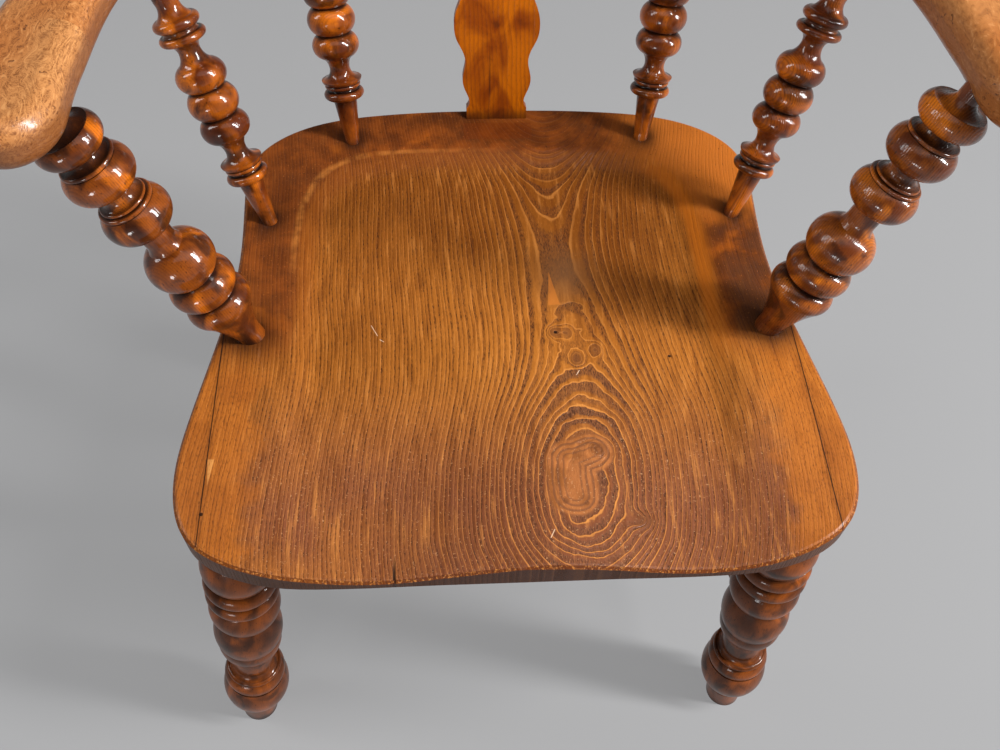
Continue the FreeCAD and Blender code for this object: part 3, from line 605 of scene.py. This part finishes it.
    def grime(self, colour):
        """Grime round the feet of the posts and spindles, and in the glue lines."""
        spots = []
        for upright, reach in dirty_feet:
            foot = foot_place(upright, seat_rim)
            spots.append(self.x.near(foot.x, reach) * self.y.near(foot.y, reach * 1.3))
        grime_and_shade = highest(spots) * (self.mottle * 1.2 + 0.4)
        colour = self.mix(grime_and_shade.at_most(0.9), colour, elm_grime_and_shade)
        from_seam = abs(abs(self.x - seat_middle) - seam)
        seam_dirt = from_seam.near(0.0, 0.0035) * 0.35 * self.mottle
        seam_line = from_seam.step(0.0006, 0.0002) * 0.8
        return self.mix(seam_dirt + seam_line, colour, elm_grime_and_shade)

    def holes(self):
        """1 in each pin hole and in the crack."""
        marks = []
        for hole_x, hole_y, radius in pin_holes:
            away = self.distance(self.x - hole_x, self.y - hole_y)
            marks.append(away.step(radius * 1.25, radius * 0.75))
        if self.figured:
            from_crack = abs(self.x - crack_x + (self.mottle - 0.5) * crack_wander)
            marks.append(from_crack.step(0.0013, 0.0005) * self.y.step(-0.246, -0.262))
        return highest(marks)

    def sides(self, colour):
        """The worn arris is darkened and flecked pale, as polish and painted glints, and the sides and
        the underside are dark.
        """
        wear_and_glint = self.noise(self.place, 620, 3)
        colour = self.mix(self.arris * 0.7, colour, deck_plain)
        # Wear and painted glints: pale flecks along the arris
        colour = self.mix(self.arris * wear_and_glint.step(0.52, 0.68) * 0.55, colour, elm_pale)
        side_tone = self.mix(self.fibre.step(0.4, 0.65), side_brown, side_dark)
        return self.mix(self.facing.step(0.45, 0.2) * 0.9, colour, side_tone)


def seat_material(name, middle, seed, figured):
    elm = SeatElm(name, middle, seed, figured)
    colour = elm.rings(elm.ground())
    if figured:
        colour = elm.figure(colour)
    colour = elm.deck(colour)
    colour = elm.edges_of_the_dish(colour)
    colour = elm.patch_and_specks(colour)
    colour = elm.grime(colour)
    if figured:
        marks = highest(elm.from_line(*ends).step(0.00045, 0.00015) for ends in scratches)
        colour = elm.mix(marks * 0.8, colour, elm_scratch)
    holes = elm.holes()
    colour = elm.mix(holes * 0.9, colour, elm_hole)
    colour = elm.sides(colour)
    roughness = elm.mottle * 0.24 + 0.34 + elm.dark_band * 0.08 - elm.arris * 0.15
    relief = elm.dark_band * -0.55 + elm.dashes * elm.dark_band * -0.5 + elm.fibre * 0.2
    relief = relief + elm.mottle * 0.35 - holes * 6.0
    return elm.finish(colour, roughness, relief, 0.00030, 0.16, 0.2, 0.1)


# Arms and crest

arm_tan = tone(184, 126, 74)
arm_orange = tone(162, 94, 42)
arm_dark = tone(104, 54, 22)
arm_pale = tone(230, 172, 112)
arm_fleck = tone(70, 34, 16)
arm_side_shade = tone(104, 56, 24)


def arm_material(name, seed, warmth, burr):
    """Worn pale burr elm, its fibres curling along the bow, with dark flecks, and painted shade on its
    sides and in its hollows.
    """
    paint = Paint(name)
    x, y, z = paint.parts(paint.place)
    # Places along and across the bow, which runs round the sitter
    bow_y = y - bow_middle_y
    across = paint.distance(x, bow_y)
    along = paint.math("ARCTAN2", bow_y, x) * bow_radius
    bow = (across, along, z)
    curl = paint.grain(bow, (26, 12, 26), 3, seed, 0.8)
    bent = across + (curl - 0.5) * 0.05
    hair = paint.grain((bent, along + curl * 0.06, z), (620, 150, 620), 3)
    knot = paint.noise(paint.place, 85, 2, 2.2)
    curls = abs((knot * 9.0).fract() - 0.5).step(0.34, 0.1) * hair.step(0.36, 0.6)
    cloud = paint.grain(bow, (18, 9, 18), 3, seed * 2)
    cluster = paint.grain(bow, (60, 30, 60), 2, seed * 3)
    fleck = paint.grain((bent, along, z), (760, 330, 500), 1)
    flecks = fleck.step(0.62, 0.7) * cluster.step(0.42, 0.62)
    # Painted shade: faces that turn sideways or downwards are darkened towards the edge
    side_shade = paint.up().step(0.55, -0.1)
    # Painted shade: occlusion darkens the arm's hollows and the places where posts and spindles meet it
    grime_and_shade = paint.hollow(0.02).step(0.35, 0.8)
    colour = paint.mix(cloud.step(0.32, 0.66) * 0.8 + warmth, arm_tan, arm_orange)
    colour = paint.mix(curls * burr, colour, arm_dark)
    colour = paint.mix(hair.step(0.5, 0.68) * 0.35, colour, arm_dark)
    colour = paint.mix(hair.step(0.44, 0.3) * 0.25, colour, arm_pale)
    colour = paint.mix(flecks * 0.7, colour, arm_fleck)
    colour = paint.mix(side_shade * (0.3 + burr * 0.7), colour, arm_side_shade)
    colour = paint.mix(grime_and_shade * 0.8, colour, elm_grime_and_shade)
    roughness = cloud * 0.2 + 0.3
    relief = hair * 0.3 - flecks * 0.6 - curls * 0.25
    return paint.finish(colour, roughness, relief, 0.00012, 0.5, 0.17)


# Splat

splat_spacing = 0.0042          # of its growth rings
splat_sway = 0.03
streak_x = -0.006
splat_dark_foot_height = 0.012

splat_gold = tone(196, 102, 0)
splat_red = tone(136, 58, 0)
splat_line = tone(96, 44, 12)
splat_streak = tone(52, 24, 10)
splat_patch = tone(58, 28, 14)
splat_fibre = tone(70, 30, 10)


def splat_material():
    """Varnished golden board with upright grain, dark patches and streaks, darker at its foot, with
    painted shade in its hollows.
    """
    paint = Paint("splat_board")
    spot = paint.parts(paint.place)
    x, y, z = spot
    sway = paint.grain(spot, (14, 0, 7), 2)
    ring = ((x + (sway - 0.5) * splat_sway) / splat_spacing).fract()
    line = ring.step(0.3, 0.9) * ring.step(1.0, 0.93)
    fibre = paint.grain(spot, (1300, 900, 45), 2)
    patch = paint.grain(spot, (42, 0, 26), 3, 3.0, 0.7)
    streak = paint.grain(spot, (210, 0, 12), 2, 5.0)
    dark_streak = streak.step(0.58, 0.72) * x.near(streak_x, 0.012)
    foot = z.step(seat_rim + splat_dark_foot_height, seat_rim)
    # Painted shade: occlusion darkens the board in its hollows along the edges
    edge = paint.hollow(0.012).step(0.4, 0.85)
    colour = paint.mix(patch.step(0.35, 0.66), splat_gold, splat_red)
    colour = paint.mix(line * 0.3, colour, splat_line)
    colour = paint.mix(dark_streak * 0.8, colour, splat_streak)
    colour = paint.mix(patch.step(0.6, 0.72) * 0.6, colour, splat_patch)
    colour = paint.mix(fibre.step(0.55, 0.75) * 0.35, colour, splat_fibre)
    colour = paint.mix((foot * 0.7).at_least(edge * 0.8), colour, elm_grime_and_shade)
    roughness = patch * 0.2 + 0.28
    relief = line * -0.4 + fibre * 0.4
    return paint.finish(colour, roughness, relief, 0.0002, 0.22, 0.16, 0.05)


steel_grey = tone(104, 98, 92)
steel_rust = tone(66, 48, 38)


def screw_material():
    """Dark aged steel."""
    paint = Paint("aged_steel")
    spots = paint.noise(paint.place, 900, 3)
    colour = paint.mix(spots.step(0.4, 0.65), steel_grey, steel_rust)
    roughness = spots * 0.3 + 0.3
    paint.shader.inputs["Metallic"].default_value = 1.0
    return paint.finish(colour, roughness, spots, 0.00005, 0.0)


def make_materials():
    give_material("seat_board", seat_material("seat_elm_board", figure_middle, 1.0, True))
    give_material("seat_strip_left", seat_material("seat_elm_left_strip", -0.09, 14.0, False))
    give_material("seat_strip_right", seat_material("seat_elm_right_strip", 0.12, 23.0, False))
    give_material("arm_left", arm_material("arm_elm_left", 1.0, 0.0, 0.6))
    give_material("arm_right", arm_material("arm_elm_right", 9.0, 0.4, 0.15))
    give_material("crest", arm_material("crest_elm", 17.0, 0.3, 0.25))
    give_material("splat", splat_material())
    give_material("crest_screws", screw_material())
    for name, *look in turned_nodes:
        give_material(name, turned_material(name, *look))


# Studio

floor_width = 30
floor_grey = tone(166, 166, 167)
floor_self_lit = 0.66           # the share of its look that no shadow falls on

wall_light = 0.26               # strength of the world along the walls
ceiling_light = 0.06            # and overhead
wall_top = 0.1                  # where the walls end, as the height of a unit vector
ceiling_edge = 0.5              # and where the ceiling begins

seat_centre = Vector((0, 0, seat_rim))
lamps = (
    # name, place, width and height, watts
    ("right_box", (2.03, -0.59, 2.15), (0.3, 2.3), 158),
    ("left_box", (-1.6, 0.1, 1.75), (0.4, 1.5), 15),
    ("overhead_box", (0.0, -0.7, 3.2), (2.6, 1.6), 10),
    ("front_left_glow", (-0.9, -1.9, 0.5), (0.4, 0.4), 8),
)


def make_floor():
    """A pale grey floor whose shadows look a third as deep as they are, as on a lit backdrop."""
    bpy.ops.mesh.primitive_plane_add(size=floor_width)
    floor = bpy.context.object
    floor.name = "floor"
    paint = Paint("floor_grey")
    paint.give(paint.shader.inputs["Base Color"], floor_grey)
    paint.shader.inputs["Roughness"].default_value = 0.9
    glow = paint.node("ShaderNodeEmission")
    paint.give(glow.inputs["Color"], floor_grey)
    rays = paint.node("ShaderNodeLightPath")
    seen_by = ("Is Camera Ray", "Is Glossy Ray", "Is Transmission Ray")
    seen = highest(Field(paint, rays.outputs[kind]) for kind in seen_by)
    both = paint.node("ShaderNodeMixShader")
    paint.give(both.inputs[0], seen * floor_self_lit)
    paint.tree.links.new(paint.shader.outputs[0], both.inputs[1])
    paint.tree.links.new(glow.outputs[0], both.inputs[2])
    paint.tree.links.new(both.outputs[0], paint.tree.nodes["Material Output"].inputs["Surface"])
    floor.data.materials.append(paint.material)


def make_lamp(name, place, size, power):
    """A soft box that faces the seat."""
    data = bpy.data.lights.new(name, "AREA")
    data.shape = "RECTANGLE"
    data.size, data.size_y = size
    data.energy = power
    lamp = bpy.data.objects.new(name, data)
    lamp.location = place
    lamp.rotation_euler = (seat_centre - Vector(place)).to_track_quat("-Z", "Y").to_euler()
    bpy.context.collection.objects.link(lamp)


def make_world():
    """A room that is light along its walls and dark overhead."""
    world = bpy.data.worlds.new("world")
    world.use_nodes = True
    tree = world.node_tree
    background = tree.nodes["Background"]
    background.inputs["Color"].default_value = (1, 1, 1, 1)
    direction = tree.nodes.new("ShaderNodeTexCoord").outputs["Generated"]
    height = tree.nodes.new("ShaderNodeSeparateXYZ")
    brightness = tree.nodes.new("ShaderNodeMapRange")
    tree.links.new(direction, height.inputs[0])
    tree.links.new(height.outputs["Z"], brightness.inputs["Value"])
    brightness.inputs["From Min"].default_value = wall_top
    brightness.inputs["From Max"].default_value = ceiling_edge
    brightness.inputs["To Min"].default_value = wall_light
    brightness.inputs["To Max"].default_value = ceiling_light
    tree.links.new(brightness.outputs["Result"], background.inputs["Strength"])
    bpy.context.scene.world = world


make_camera()
make_materials()
make_floor()
make_world()
for lamp in lamps:
    make_lamp(*lamp)
bpy.context.scene.view_settings.view_transform = "Standard"
